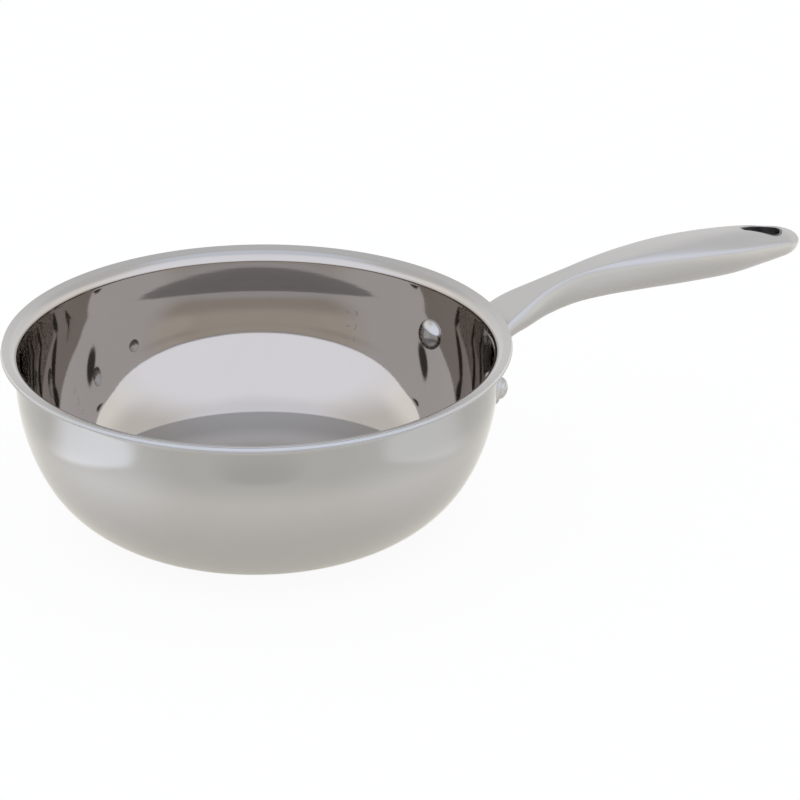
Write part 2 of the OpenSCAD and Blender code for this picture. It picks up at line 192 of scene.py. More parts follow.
class StudioSettings(bpy.types.PropertyGroup):
    """The camera, as the photograph was taken, and the light."""
    turn: angle("Camera turn", "Direction of the camera round the bowl's axis", -21.1)
    rise: angle("Camera rise", "Height of the camera above the rim's plane, as an angle", 23.446)
    roll: angle("Camera roll", "How far the picture leans", 0.892)
    distance: length("Distance", "From the camera to the rim's centre", 1.68)
    lens: share("Lens", "Focal length in millimetres on a 36 mm frame", 160.98)
    rim_x: share("Rim centre x", "Picture column of the rim's centre, in an 800 pixel frame", 257.01)
    rim_y: share("Rim centre y", "Picture row of the rim's centre, in an 800 pixel frame", 339.25)
    floor_r: length("Floor radius", "Radius of the pale floor", 3)
    floor: colour("Floor", "Colour of the floor", (0.83, 0.80, 0.72))
    pool: colour("Light pool", "Light that the pool on the floor's left adds", (0.52, 0.56, 0.66))
    pool_light: share("Pool strength", "Strength of that light in the pool", 0.62)
    pool_right: share("Right pool", "Share of the pool's strength that the right pool has", 0.42)
    pool_side: length(
        "Pool place", "Distance of a pool's near edge from the pan's middle, to each side", 171 * MM)
    pool_end: length("Pool end", "Distance of its far edge", 250 * MM)
    front: colour("Front light", "Light from the camera's side", (1.36, 1.43, 1.60))
    backdrop: colour("Backdrop light", "Light from behind the pan", (1.25, 1.25, 1.26))
    zenith: colour("Top light", "Light from straight above", (1.18, 1.24, 1.40))
    shade: colour("Camera's shade", "Light from where the camera stands", (0.12, 0.12, 0.12))
    side_left: share("Left light", "What the soft light on the left adds", 0.08)
    side_right: share("Right light", "What the soft light on the right adds", 0.04)


SETTINGS = {
    "bowl": BowlSettings, "rivet": RivetSettings, "bracket": BracketSettings, "handle": HandleSettings,
    "mark": MarkSettings, "finish": FinishSettings, "studio": StudioSettings,
}


def settings(group):
    """One property group of the scene."""
    return getattr(bpy.context.scene, "saucepan_" + group)


# Meshes

def steps_across(points, closed):
    """Central differences from column to column, wrapped where the last column repeats the first."""
    if not closed:
        return np.gradient(points, axis=1)
    body = points[:, :-1]
    step = np.roll(body, -1, axis=1) - np.roll(body, 1, axis=1)
    return np.concatenate([step, step[:, :1]], axis=1)


def unit(vectors):
    """Vectors over their own length."""
    return vectors / np.maximum(np.linalg.norm(vectors, axis=-1, keepdims=True), 1e-15)


def skin(points, columns_closed=False, flip=False, flat=False, normals=None):
    """A grid of points with its outward normals: the step between rows cross the step between columns, turned
    over by flip."""
    if normals is None and not flat:
        normals = unit(np.cross(np.gradient(points, axis=0), steps_across(points, columns_closed)))
        normals = -normals if flip else normals
    return points, normals, flip


def solid(name, skins):
    """One closed mesh from skins. Each grid cell is two triangles, points within the weld become one vertex,
    triangles that lose their area at a pole are left out, and the skins' normals are kept."""
    places, shades, count = [], [], 0
    for points, normals, flip in skins:
        rows, columns = points.shape[:2]
        index = np.arange(rows * columns).reshape(rows, columns)
        a, b, c, d = index[:-1, :-1], index[:-1, 1:], index[1:, 1:], index[1:, :-1]
        cells = np.concatenate([np.stack(three, -1).reshape(-1, 3) for three in ((a, d, c), (a, c, b))])
        cells = cells[:, ::-1] if flip else cells
        corners = points.reshape(-1, 3)[cells]
        face = unit(np.cross(corners[:, 1] - corners[:, 0], corners[:, 2] - corners[:, 0]))
        shade = np.repeat(face[:, None], 3, 1) if normals is None else normals.reshape(-1, 3)[cells]
        lost = np.linalg.norm(shade, axis=-1, keepdims=True) < 0.5
        places.append(corners)
        shades.append(np.where(lost, face[:, None], shade))
    places, shades = np.concatenate(places), np.concatenate(shades)
    keys = np.rint(places.reshape(-1, 3) / WELD).astype(np.int64)
    _, first, index = np.unique(keys, axis=0, return_index=True, return_inverse=True)
    index = index.reshape(-1, 3)
    whole = (index[:, 0] != index[:, 1]) & (index[:, 1] != index[:, 2]) & (index[:, 0] != index[:, 2])
    mesh = bpy.data.meshes.new(name)
    mesh.from_pydata(places.reshape(-1, 3)[first], [], index[whole])
    mesh.polygons.foreach_set("use_smooth", np.ones(int(whole.sum()), bool))
    mesh.normals_split_custom_set(shades[whole].reshape(-1, 3))
    mesh.update()
    piece = bpy.data.objects.new(name, mesh)
    bpy.context.scene.collection.objects.link(piece)
    return piece


def finish(piece, material, slot, *nodes):
    """Gives a piece its material, its body and the CAD nodes it stands for. Its slot argument is not used."""
    piece.data.materials.clear()
    piece.data.materials.append(material)
    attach(piece, "root")
    if nodes:
        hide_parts(*nodes)
    return piece


def arc(centre, radius, start, end, count):
    """Points of an arc in a plane, by angle from straight down: centre + radius * (sin, -cos)."""
    turn = np.linspace(start, end, count)
    return np.stack([centre[0] + radius * np.sin(turn), centre[1] - radius * np.cos(turn)], axis=-1)


# Segments of a full turn
SHEET_TURN, CORE_TURN, RIVET_TURN, FLOOR_TURN = 288, 192, 72, 96


def revolve(profile, segments):
    """A profile of (radius, height) turned about Z: (radius cos a, radius sin a, height)."""
    turn = np.linspace(0, 2 * np.pi, segments + 1)
    radius, height = profile[:, :1], profile[:, 1:]
    return np.stack([radius * np.cos(turn), radius * np.sin(turn), height + 0 * turn], axis=-1)


# The bowl's section

# Points along each stretch of the section, and round each rounded corner of the lip's edge
BASE_POINTS, KNEE_POINTS, SIDE_POINTS, WALL_POINTS, BEND_POINTS, CORNER_POINTS = 12, 34, 26, 7, 25, 6


class BowlForm:
    """The bowl's section as lines at any depth inside its outer surface: a flat base, a tight arc, a wide
    arc, a straight leaning wall, the lip's bend and the straight lip, each tangent to the next."""

    def __init__(self, bowl):
        self.size = bowl
        self.sheet_t = bowl.inner_t + bowl.core_t + bowl.outer_t
        lean, slope, bend_r = bowl.wall_lean, bowl.lip_slope, bowl.lip_bend_r
        self.lip_way = np.array([math.cos(slope), math.sin(slope)])
        self.lip_over = np.array([-math.sin(slope), math.cos(slope)])
        bend_x = bowl.wall_r + bend_r * math.cos(lean)
        self.lip_l = (bowl.rim_r - bend_x + bend_r * math.sin(slope)) / math.cos(slope)
        bend_z = bowl.rim_h - self.lip_l * math.sin(slope) - (bend_r + self.sheet_t) * math.cos(slope)
        self.bend = np.array([bend_x, bend_z])
        self.flare_h = bend_z + bend_r * math.sin(lean)
        self.top_h = self.flare_h - bowl.straight_h
        self.top_r = bowl.wall_r - bowl.straight_h * math.tan(lean)
        # The two arcs together span the width and the height between the base and the straight wall
        run = self.top_r - bowl.base_r
        ks, kc, ls, lc = math.sin(bowl.knee), math.cos(bowl.knee), math.sin(lean), math.cos(lean)
        scale = ks * (kc - ls) - (lc - ks) * (1 - kc)
        self.lower_r = (run * (kc - ls) - self.top_h * (lc - ks)) / scale
        self.upper_r = (self.top_h * ks - run * (1 - kc)) / scale
        self.wall_out = np.array([lc, -ls])
        self.centre = np.array([self.top_r, self.top_h]) - self.upper_r * self.wall_out

    def wall_at(self, depth, height):
        """Radius of the wall's upper part at a height, at a depth inside its outer surface."""
        lean = self.size.wall_lean
        below = (self.upper_r - depth) ** 2 - (self.centre[1] - height) ** 2
        curved = self.centre[0] + np.sqrt(np.maximum(below, 0))
        straight = self.size.wall_r + (height - self.flare_h) * math.tan(lean) - depth / math.cos(lean)
        return np.where(height < self.top_h + depth * math.sin(lean), curved, straight)

    def line(self, depth):
        """The section's line at a depth, from the axis to the end of the lip's bend."""
        bowl = self.size
        foot = np.array([self.top_r, self.top_h]) - depth * self.wall_out
        head = np.array([bowl.wall_r, self.flare_h]) - depth * self.wall_out
        turn = np.linspace(bowl.wall_lean, np.pi / 2 - bowl.lip_slope, BEND_POINTS)[1:]
        bend = self.bend + (bowl.lip_bend_r + depth) * np.stack([-np.cos(turn), np.sin(turn)], axis=-1)
        base = np.linspace(0, bowl.base_r, BASE_POINTS)[:-1]
        return np.concatenate([
            np.stack([base, np.full(len(base), depth)], axis=-1),
            arc((bowl.base_r, self.lower_r), self.lower_r - depth, 0, bowl.knee, KNEE_POINTS)[:-1],
            arc(self.centre, self.upper_r - depth, bowl.knee, np.pi / 2 - bowl.wall_lean, SIDE_POINTS),
            foot + (head - foot) * np.linspace(0, 1, WALL_POINTS)[1:, None],
            bend,
        ])

    def layer(self, shallow, deep):
        """The closed section of one layer between two depths, with rounded corners at the lip's edge."""
        r = self.size.edge_r
        under, over = self.line(shallow), self.line(deep)
        turn = np.linspace(0, np.pi / 2, CORNER_POINTS)[:, None]
        side, up = np.sin(turn), np.cos(turn)
        low = under[-1] + (self.lip_l - r) * self.lip_way + r * self.lip_over
        high = over[-1] + (self.lip_l - r) * self.lip_way - r * self.lip_over
        corner_low = low + r * (side * self.lip_way - up * self.lip_over)
        corner_high = high + r * (up * self.lip_way + side * self.lip_over)
        return np.concatenate([under, corner_low, corner_high, over[::-1]])


# The handle's path and section

# Rows of [share of the reach, shares of the foot, root, neck and grip widths]
WIDTH_SHARES = [
    [-0.08, [1, 0, 0, 0]],
    [0, [0, 1, 0, 0]],
    [0.08, [0, 0.66, 0.34, 0]],
    [0.16, [0, 0.2, 0.8, 0]],
    [0.255, [0, 0, 1, 0]],
    [0.36, [0, 0, 0.8, 0.2]],
    [0.484, [0, 0, 0.43, 0.57]],
    [0.625, [0, 0, 0.09, 0.91]],
    [0.772, [0, 0, 0, 1]],
    [0.89, [0, 0, 0, 0.84]],
    [1, [0, 0, 0, 0.64]],
]
# Rows of [share of the reach, shares of the foot, root, neck, grip and tip thicknesses]
DEPTH_SHARES = [
    [-0.08, [1, 0, 0, 0, 0]],
    [0, [0, 1, 0, 0, 0]],
    [0.08, [0, 0.48, 0.52, 0, 0]],
    [0.16, [0, 0.23, 0.77, 0, 0]],
    [0.255, [0, 0, 1, 0, 0]],
    [0.36, [0, 0, 0.57, 0.43, 0]],
    [0.484, [0, 0, 0.15, 0.85, 0]],
    [0.625, [0, 0, 0, 1, 0]],
    [0.772, [0, 0, 0, 0.87, 0.13]],
    [0.89, [0, 0, 0, 0.49, 0.51]],
    [1, [0, 0, 0, 0, 1]],
]
# Rows of [share of the reach, flat top's share of the width]
FLAT_SHARES = [[-0.08, 0.94], [0, 0.92], [0.16, 0.9], [0.3, 0.88], [0.48, 0.79], [1, 0.7]]
# Rows of [share of the reach, softness of the crease as a share of the grip's thickness]
SOFT_SHARES = [[-0.08, 0.02], [0.2, 0.02], [0.4, 0.04], [0.55, 0.09], [0.7, 0.16], [0.85, 0.2], [1, 0.16]]
# Rows of [share of the reach, share of the grip's crown]
CROWN_SHARES = [[-0.08, 0], [0.4, 0], [0.56, 0.17], [0.7, 0.56], [0.83, 0.92], [0.92, 0.72], [1, 0.35]]
# Where the shells begin, as a share of the reach
JOINT_SHARE = 0.06
# Where the section is widest, as a share of its thickness
WIDEST_SHARE = 0.24
# The tip's blunt share of its thickness, and the power by which its very end closes
BLUNT_SHARE, TIP_POWER = 0.72, 10
# Softness of the crown's two edges
BULGE_SOFT = 0.06
# Rows of a shell before and behind the hole, points round a quarter of the belly, and points round an edge
GRIP_ROWS, TIP_ROWS, BELLY_POINTS, EDGE_POINTS = 110, 20, 26, 7
# Rows of the bracket's foot, fillet, plate, back and tongue, and the search for where its foot ends
FOOT_ROWS, FILLET_ROWS, PLATE_ROWS, BACK_ROWS, TONGUE_ROWS = 22, 8, 7, 12, 7
SEARCH_FROM, SEARCH_TURNS = -0.16, 30


def smooth(table, at):
    """A smooth curve through the rows of a table: a cubic in each span, with each row's slope taken from its
    two neighbours."""
    place, value = np.array(table).T
    slope = np.concatenate([
        [(value[1] - value[0]) / (place[1] - place[0])],
        (value[2:] - value[:-2]) / (place[2:] - place[:-2]),
        [(value[-1] - value[-2]) / (place[-1] - place[-2])],
    ])
    i = np.clip(np.searchsorted(place, at, side="right") - 1, 0, len(place) - 2)
    h = place[i + 1] - place[i]
    f = (at - place[i]) / h
    return (value[i] * (1 + 2 * f) * (1 - f) ** 2 + value[i + 1] * f ** 2 * (3 - 2 * f)
            + h * (slope[i] * f * (1 - f) ** 2 - slope[i + 1] * f ** 2 * (1 - f)))


class HandleForm:
    """The handle's skin as a function of two parameters: a share of the reach, and an angle round the section
    that is 0 on top, a quarter turn at the widest place and a half turn underneath."""

    def __init__(self, handle, bowl):
        self.size = handle
        self.root = np.array([bowl.wall_r + handle.root_out, bowl.rim_h - handle.root_drop])
        self.tip = np.array([bowl.wall_r + handle.length, bowl.rim_h + handle.tip_rise])
        self.reach = self.tip[0] - self.root[0]
        root_way = np.array([math.cos(handle.root_angle), math.sin(handle.root_angle)])
        tip_way = np.array([math.cos(handle.tip_angle), -math.sin(handle.tip_angle)])
        self.pulls = (self.root, self.root + handle.root_pull * root_way,
                      self.tip - handle.tip_pull * tip_way, self.tip)
        self.round_share = 1 - handle.tip_round / self.reach
        widths = (handle.foot_w, handle.root_w, handle.neck_w, handle.grip_w)
        depths = (handle.foot_t, handle.root_t, handle.neck_t, handle.grip_t, handle.tip_t)
        self.widths = [[row[0], float(np.dot(row[1], widths))] for row in WIDTH_SHARES]
        self.depths = [[row[0], float(np.dot(row[1], depths))] for row in DEPTH_SHARES]
        self.softs = [[row[0], row[1] * handle.grip_t] for row in SOFT_SHARES]
        u = np.linspace(0, 1, 2001)
        self.table = u, self.bezier(u)[..., 0]

    def bezier(self, u):
        """The crown line: a cubic curve with the two ends and their pulls."""
        u = np.asarray(u)[..., None]
        p0, p1, p2, p3 = self.pulls
        return (1 - u) ** 3 * p0 + 3 * u * (1 - u) ** 2 * p1 + 3 * u ** 2 * (1 - u) * p2 + u ** 3 * p3

    def crown(self, s):
        """The crown line's point and direction at a share of the reach; below 0 it runs straight on."""
        x = self.root[0] + s * self.reach
        u = np.interp(x, self.table[1], self.table[0])
        at = self.bezier(u)
        nudge = 1e-4
        way = unit(self.bezier(u + nudge) - self.bezier(u - nudge))
        slope = math.tan(self.size.root_angle)
        straight = np.stack([x, self.root[1] + s * self.reach * slope], axis=-1)
        way_root = np.array([math.cos(self.size.root_angle), math.sin(self.size.root_angle)])
        low = (s < 0)[..., None]
        return np.where(low, straight, at), np.where(low, way_root, way)

    def half_width(self, s, inset=0.0):
        """Half the width at a share of the reach: it closes at the tip as a quarter ellipse."""
        v = np.clip((s - self.round_share) / (1 - self.round_share), 0, 1)
        draw = np.sqrt(np.maximum(1 - v ** 2, 0))
        return smooth(self.widths, s) / 2 * draw - inset * draw, draw, v

    def crease(self, s):
        """Angle of the crease beside the flat top."""
        return np.arcsin(smooth(FLAT_SHARES, s))

    def points(self, s, p, inset=0.0):
        """Skin points. Across: half width times sin p. Below the crown, on the upper half: a top that is flat
        on the neck and bulges as a parabola on the grip, joined to an ellipse by a smooth maximum; on the
        lower half: a quarter ellipse."""
        s, p = np.broadcast_arrays(np.asarray(s, float), np.asarray(p, float))
        a, draw, v = self.half_width(s, inset)
        full_t = smooth(self.depths, s)
        drawn_t = full_t * (1 - (1 - BLUNT_SHARE) * (1 - draw)) * np.sqrt(np.maximum(1 - v ** TIP_POWER, 0))
        t = np.maximum(drawn_t - 2 * inset, 0)
        sink = (full_t - drawn_t) / 2 + inset
        c = WIDEST_SHARE * t
        crease = self.crease(s)
        b = c / np.cos(crease)
        soft = smooth(self.softs, s) * draw + 1e-9
        rise = lambda e: (e + np.sqrt(e ** 2 + soft ** 2)) / 2
        low, high = rise(c - b), rise(c)
        upper = (rise(c - b * np.cos(p)) - low) * c / np.maximum(high - low, 1e-12)
        across = 1 - (np.sin(p) / np.sin(crease)) ** 2
        bulged = lambda e: (e + np.sqrt(e ** 2 + BULGE_SOFT)) / 2
        bulge = bulged(across) - bulged(1 - 1 / np.sin(crease) ** 2)
        upper = upper - self.size.grip_crown * smooth(CROWN_SHARES, s) * draw * bulge
        lower = c - (t - c) * np.cos(p)
        depth = sink + np.where(np.abs(p) <= np.pi / 2, upper, lower)
        at, way = self.crown(s)
        x, z = at[..., 0] + depth * way[..., 1], at[..., 1] - depth * way[..., 0]
        return np.stack([x, a * np.sin(p), z], axis=-1)

    def normals(self, s, p):
        """Outward normals: the step along the handle cross the step round the section."""
        s, p = np.broadcast_arrays(np.asarray(s, float), np.asarray(p, float))
        ds, dp = 2e-5, 2e-4
        s = np.minimum(s, 1 - 20 * ds)
        along = self.points(s + ds, p) - self.points(s - ds, p)
        around = self.points(s, p + dp) - self.points(s, p - dp)
        return unit(np.cross(along, around))

    def share_over(self, x, y, inset, under):
        """The share and angle whose skin point lies at x and y in plan, on top or underneath."""
        s = (x - self.root[0]) / self.reach
        for _ in range(8):
            p = np.arcsin(np.clip(y / self.half_width(s, inset)[0], -1, 1))
            p = np.pi - p if under else p
            s = s + (x - self.points(s, p, inset)[..., 0]) / self.reach
        return s, p


def hole_side(handle, bowl, grow):
    """One side of the teardrop, from its point to its wide end, as x, y and outward direction: two arcs and
    their common tangent, each point at its centre plus its radius times the direction."""
    wide_x = bowl.wall_r + handle.length - handle.hole_to_tip - handle.hole_r
    lean = math.acos((handle.hole_r - handle.hole_point_r) / handle.hole_run)
    narrow_turn = np.linspace(np.pi, np.pi - lean, 13)
    wide_turn = np.linspace(np.pi - lean, 0, 17)
    turn = np.concatenate([narrow_turn, np.full(8, np.pi - lean), wide_turn])
    along = np.concatenate([np.zeros(13), np.linspace(0, 1, 10)[1:-1], np.ones(17)])
    way = np.stack([np.cos(turn), np.sin(turn)], axis=-1)
    radius = handle.hole_point_r + (handle.hole_r - handle.hole_point_r) * along + grow
    centre = np.stack([wide_x - handle.hole_run * (1 - along), 0 * along], axis=-1)
    at = centre + radius[:, None] * way
    return at[:, 0], np.maximum(at[:, 1], 0), way


def quadrant_angles(crease, inner, outer, count=17):
    """Angles from one edge of a quarter of the section to the other, close together at the crease."""
    q = np.linspace(0, np.pi / 2, count)
    first = inner + (crease - inner) * np.sin(q)
    second = crease + (outer - crease) * (1 - np.cos(q))
    return np.concatenate([first, second[..., 1:]], axis=-1)


def handle_rows(form, bowl, under, grow, inset, tip):
    """Shares of the reach for every row of a shell's skin, the angle at which each row meets the hole or the
    middle line, and where the hole's rows are."""
    x, y, _ = hole_side(form.size, bowl, grow)
    hole_s, hole_p = form.share_over(x, y, inset, under)
    before = JOINT_SHARE + (hole_s[0] - JOINT_SHARE) * np.linspace(0, 1, GRIP_ROWS + 1)[:-1]
    after = hole_s[-1] + (tip - hole_s[-1]) * np.sin(np.linspace(0, np.pi / 2, TIP_ROWS + 1)[1:])
    s = np.concatenate([before, hole_s, after, [tip]])
    middle = np.pi if under else 0.0
    p = np.concatenate([np.full(GRIP_ROWS, middle), hole_p, np.full(TIP_ROWS + 1, middle)])
    return s, p, slice(GRIP_ROWS, GRIP_ROWS + len(hole_s))


def shell_skins(form, bowl, under):
    """The skins of one handle shell: outside, inside, two parting edges, root edge and hole's edge."""
    handle = form.size
    edge_r = handle.hole_edge_r
    s_out, p_out, hole = handle_rows(form, bowl, under, handle.liner_t + edge_r, 0.0, 1.0)
    tip_in = 1 - handle.shell_t / form.reach
    s_in, p_in, _ = handle_rows(form, bowl, under, handle.liner_t, handle.shell_t, tip_in)
    skins, edges = [], []
    for side in (1, -1):
        grids = []
        for s, middle, inset in ((s_out, p_out, 0.0), (s_in, p_in, handle.shell_t)):
            if under:
                quarter = np.linspace(0, np.pi / 2, BELLY_POINTS)
                p = np.pi / 2 + (middle[:, None] - np.pi / 2) * np.sin(quarter)
            else:
                p = quadrant_angles(form.crease(s)[:, None], middle[:, None], np.pi / 2)[:, ::-1]
            grids.append((form.points(s[:, None], side * p, inset), s[:, None] + 0 * p, side * p))
        outer, s_grid, p_grid = grids[0]
        inner = grids[1][0]
        # The cavity closes in the middle plane
        inner[-1] = inner[-2, :1] * [1, 0, 1]
        flip_out = (side > 0) != under
        skins.append(skin(outer, flip=flip_out, normals=form.normals(s_grid, p_grid)))
        skins.append(skin(inner, flip=not flip_out))
        skins.append(skin(np.stack([outer[:, 0], inner[:, 0]]), flip=flip_out, flat=True))
        skins.append(skin(np.stack([outer[0], inner[0]]), flip=not flip_out, flat=True))
        edges.append((outer[hole, -1], inner[hole, -1], flip_out))
    _, _, way = hole_side(handle, bowl, 0)
    turn = np.linspace(0, np.pi / 2, EDGE_POINTS)[:, None, None]
    for (top, low, flip_out), side in zip(edges, (1, -1)):
        inward = -np.stack([way[:, 0], side * way[:, 1], 0 * way[:, 0]], axis=-1)
        down = np.array([0, 0, 1.0 if under else -1.0])
        rounded = top + edge_r * (np.sin(turn) * inward + (1 - np.cos(turn)) * down)
        skins.append(skin(rounded, flip=not flip_out))
        skins.append(skin(np.stack([rounded[-1], low]), flip=not flip_out))
    return skins


# Finishes

class Wire:
    """An output socket with arithmetic: an expression on wires adds its Math nodes to the material."""

    def __init__(self, board, socket):
        self.board, self.socket = board, socket

    def maths(self, operation, *values):
        return self.board.add("ShaderNodeMath", {"operation": operation}, dict(enumerate(values)))

    def __add__(self, other):
        return self.maths("ADD", self, other)

    def __sub__(self, other):
        return self.maths("SUBTRACT", self, other)

    def __rsub__(self, other):
        return self.maths("SUBTRACT", other, self)

    def __mul__(self, other):
        return self.maths("MULTIPLY", self, other)

    def __truediv__(self, other):
        return self.maths("DIVIDE", self, other)

    def __pow__(self, other):
        return self.maths("POWER", self, other)

    __radd__, __rmul__ = __add__, __mul__


class Board:
    """The node tree of a material or of the world."""

    def __init__(self, owner):
        owner.use_nodes = True
        self.tree = owner.node_tree
        self.tree.nodes.clear()

    def add(self, kind, choices, sockets, output=0):
        """Makes any node: its choices are set first, then its sockets' values or links. Gives one output."""
        node = self.tree.nodes.new(kind)
        for name, value in choices.items():
            setattr(node, name, value)
        for name, value in sockets.items():
            if isinstance(value, Wire):
                self.tree.links.new(value.socket, node.inputs[name])
            else:
                node.inputs[name].default_value = value
        return Wire(self, node.outputs[output]) if len(node.outputs) else None

    def place(self):
        """Object coordinates as a vector and as three numbers."""
        at = self.add("ShaderNodeTexCoord", {}, {}, "Object")
        return (at, *self.split(at))

    def split(self, vector):
        """A vector's three numbers."""
        node = self.add("ShaderNodeSeparateXYZ", {}, {"Vector": vector}).socket.node
        return tuple(Wire(self, output) for output in node.outputs)

    def join(self, x, y, z):
        """A vector from three numbers."""
        return self.add("ShaderNodeCombineXYZ", {}, {"X": x, "Y": y, "Z": z})

    def noise(self, vector, scale, detail=2.0, roughness=0.5):
        """Smooth noise from 0 to 1."""
        sockets = {"Vector": vector, "Scale": scale, "Detail": detail, "Roughness": roughness}
        return self.add("ShaderNodeTexNoise", {}, sockets)

    def ramp(self, value, low, high, to_low=0.0, to_high=1.0):
        """A value carried smoothly from one range to another."""
        sockets = {"Value": value, "From Min": low, "From Max": high, "To Min": to_low, "To Max": to_high}
        return self.add("ShaderNodeMapRange", {"interpolation_type": "SMOOTHSTEP"}, sockets)

    def blend(self, factor, first, second):
        """A colour between two colours."""
        sockets = {0: factor, 6: first, 7: second}
        return self.add("ShaderNodeMix", {"data_type": "RGBA"}, sockets, 2)

    def tint(self, colour, factor):
        """A colour made lighter or darker by a number."""
        sockets = {0: tuple(colour)[:3], "Scale": factor}
        return self.add("ShaderNodeVectorMath", {"operation": "SCALE"}, sockets)

    def bump(self, height, distance):
        """A normal that follows a height map."""
        return self.add("ShaderNodeBump", {}, {"Height": height, "Distance": distance, "Strength": 1.0})


def steel(name, colour, rough, bump, metallic=1.0):
    """A metal surface from its colour, roughness and bump wires."""
    board = rough.board
    shader = board.add("ShaderNodeBsdfPrincipled", {}, {
        "Base Color": colour, "Metallic": metallic, "Roughness": rough, "Normal": bump})
    board.add("ShaderNodeOutputMaterial", {}, {"Surface": shader})


def opaque(rgb):
    """A colour with full alpha."""
    return (*tuple(rgb)[:3], 1.0)


# How fine each noise of the finishes is, per metre
RING_SCALE, WAVE_SCALE, CLOUD_SCALE = 900, 26.0, 60.0
SATIN_ALONG, SATIN_ACROSS, SATIN_CLOUDS, GRAIN_SCALE = 900, 1600, 45.0, 1400.0
SATIN_DEPTH = 0.000012
# Half the width of the disc's edge, the width of the brushed lip's edge, and that of its colour
DISC_EDGE, LIP_EDGE, BEND_EDGE = 0.3 * MM, 0.6 * MM, 2 * MM
# Painted shade: where the disc darkens towards its edge as the bottom curves up, as shares of its radius, and
# its tone there
CORNER_SHADE_FROM, CORNER_SHADE_TO, CORNER_SHADE_TONE = 0.8, 0.93, 0.66
# Where the turned rings fade out round the base, as shares of the base's radius
RINGS_FROM, RINGS_TO = 1.12, 0.96
# What the rings and the clouds change in the roughness
DISC_RINGS, BASE_RINGS, CLOUD_GLOSS = 0.06, 0.02, 0.02


def polished_material(name, look, rgb, rough, disc_r, bowl, spin_depth, wave_depth):
    """Polished sheet: fine turned rings whose gloss fades out round the base, a slow waviness of the pressed
    sheet, faint cloudy differences in gloss, a brushed disc up to a radius, and a brushed lip outside its
    bend."""
    material = bpy.data.materials.new(name)
    board = Board(material)
    form = BowlForm(bowl)
    lip_r = form.bend[0] - (bowl.lip_bend_r + form.sheet_t) * math.sin(bowl.lip_slope)
    at, x, y, z = board.place()
    radius = (x * x + y * y) ** 0.5
    rings = board.noise(board.join(radius * RING_SCALE, z * RING_SCALE, 0.0), 1.0, 3.0, 0.6)
    waves = board.noise(at, WAVE_SCALE, 1.0)
    clouds = board.noise(at, CLOUD_SCALE, 3.0)
    base = board.ramp(radius, bowl.base_r * RINGS_FROM, bowl.base_r * RINGS_TO)
    lip = board.ramp(radius, lip_r, lip_r + LIP_EDGE)
    disc = board.ramp(radius, disc_r + DISC_EDGE, disc_r - DISC_EDGE)
    # Painted shade: the disc darkens towards its edge, where the bottom curves up into the wall
    corner_shade = board.ramp(radius, disc_r * CORNER_SHADE_FROM, disc_r * CORNER_SHADE_TO, 1.0, CORNER_SHADE_TONE)
    brushed = lip * (look.lip_rough - rough) + disc * (look.disc_rough - rough + DISC_RINGS * (rings - 0.5))
    gloss = rough + CLOUD_GLOSS * (clouds - 0.5) + base * BASE_RINGS * rings + brushed
    height = rings * spin_depth + waves * wave_depth
    # Each tone wavers by a few hundredths round its colour
    polish = board.tint(rgb, 0.985 + 0.03 * clouds)
    brush = board.tint(look.disc_steel, corner_shade * (0.97 + 0.06 * rings))
    colour = board.blend(disc, polish, brush)
    bend = board.ramp(radius, bowl.wall_r - BEND_EDGE, bowl.wall_r)
    colour = board.blend(bend, colour, opaque(look.lip_steel))
    steel(name, colour, gloss, board.bump(height, 1.0))
    return material


def satin_material(name, rgb, rough):
    """Satin steel: a very fine blasted grain, drawn out a little along the handle, with faint cloudy tone."""
    material = bpy.data.materials.new(name)
    board = Board(material)
    at, x, y, z = board.place()
    grain = board.noise(board.join(x * SATIN_ALONG, y * SATIN_ACROSS, z * SATIN_ACROSS), 1.0, 2.0, 0.7)
    clouds = board.noise(at, SATIN_CLOUDS, 3.0)
    gloss = rough + 0.06 * (grain - 0.5) + 0.04 * (clouds - 0.5)
    colour = board.tint(rgb, 0.97 + 0.05 * grain * clouds + 0.02 * clouds)
    steel(name, colour, gloss, board.bump(grain, SATIN_DEPTH))
    return material


def plain_metal(name, rgb, rough, grain_depth, metallic=1.0):
    """A small metal part: fine grain in its gloss, tone and surface."""
    material = bpy.data.materials.new(name)
    board = Board(material)
    at, _, _, _ = board.place()
    grain = board.noise(at, GRAIN_SCALE, 3.0)
    gloss = rough + 0.06 * (grain - 0.5)
    steel(name, board.tint(rgb, 0.95 + 0.1 * grain), gloss, board.bump(grain, grain_depth), metallic)
    return material


# Operators

class SAUCEPAN_OT_bowl(bpy.types.Operator):
    """Builds the bowl's three bonded layers"""
    bl_idname = "saucepan.bowl"
    bl_label = "Bowl layers"

    def execute(self, context):
        bowl, look = settings("bowl"), settings("finish")
        form = BowlForm(bowl)
        inner = polished_material(
            "polished_inner", look, look.inner_steel, look.inner_rough, look.disc_r, bowl, 2e-6, 6e-5)
        outer = polished_material(
            "polished_outer", look, look.outer_steel, look.outer_rough, -1.0, bowl, 2e-6, 5e-5)
        core = plain_metal("rolled_aluminium", look.aluminium, 0.34, 1e-5)
        layers = (
            ("outer_skin", 0.0, bowl.outer_t, SHEET_TURN, outer, "polished_outer_steel", "outer_layer"),
            ("core_sheet", bowl.outer_t, bowl.outer_t + bowl.core_t, CORE_TURN, core,
             "core_aluminium", "aluminium_core"),
            ("inner_skin", bowl.outer_t + bowl.core_t, form.sheet_t, SHEET_TURN, inner,
             "polished_inner_steel", "inner_layer"),
        )
        for name, shallow, deep, segments, material, slot, node in layers:
            points = revolve(form.layer(shallow, deep), segments)
            finish(solid(name, [skin(points, columns_closed=True, flip=True)]), material, slot, node)
        return {"FINISHED"}


